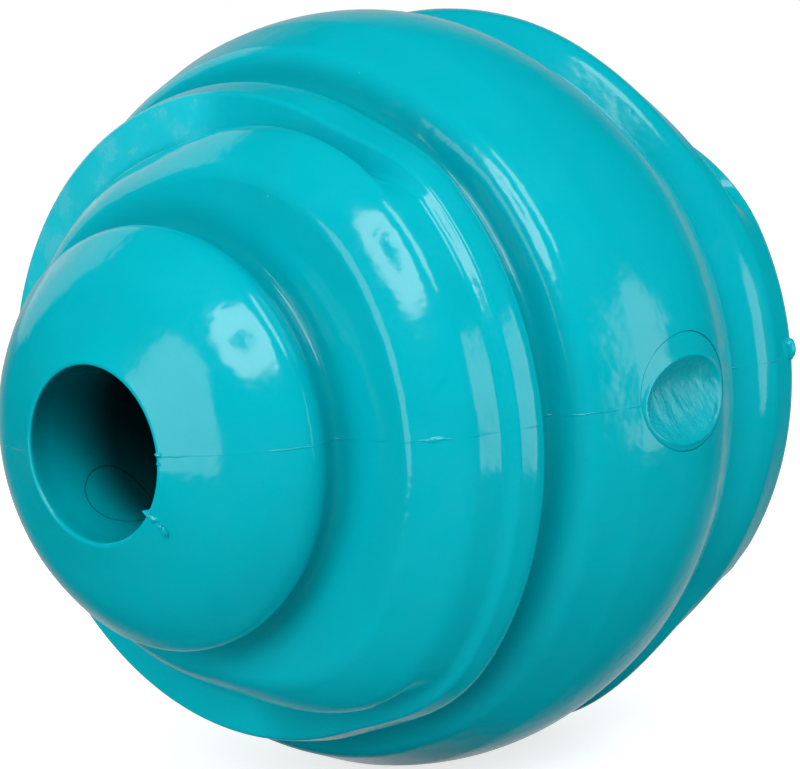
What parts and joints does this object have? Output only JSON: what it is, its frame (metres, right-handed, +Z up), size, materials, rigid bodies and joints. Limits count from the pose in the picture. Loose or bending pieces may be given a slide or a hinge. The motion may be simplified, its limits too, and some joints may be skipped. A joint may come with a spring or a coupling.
{
  "type": "dog toy ball",
  "caption": "Ball stepped in rounded rings along one axis, with a hole through it, a hollow middle, a level seam and a round dimpled plug in its side.",
  "frame": {"origin": "centre of the ball, half way along the hole and on the seam plane", "axes": "the hole runs along Y with the nose seen first toward -Y; the seam is level at Z = 0; the plug is on the +X side; +Z up"},
  "size_m": [0.0884, 0.0902, 0.089],
  "materials": {
    "vinyl": "glossy soft vinyl, smooth, with faint moulding marks",
    "vinyl_plug": "glossy soft vinyl, torn rough in the dimple"
  },
  "bodies": {
    "root": {"upper_half_shell": "vinyl", "lower_half_shell": "vinyl", "side_plug": "vinyl_plug"}
  },
  "joints": []
}
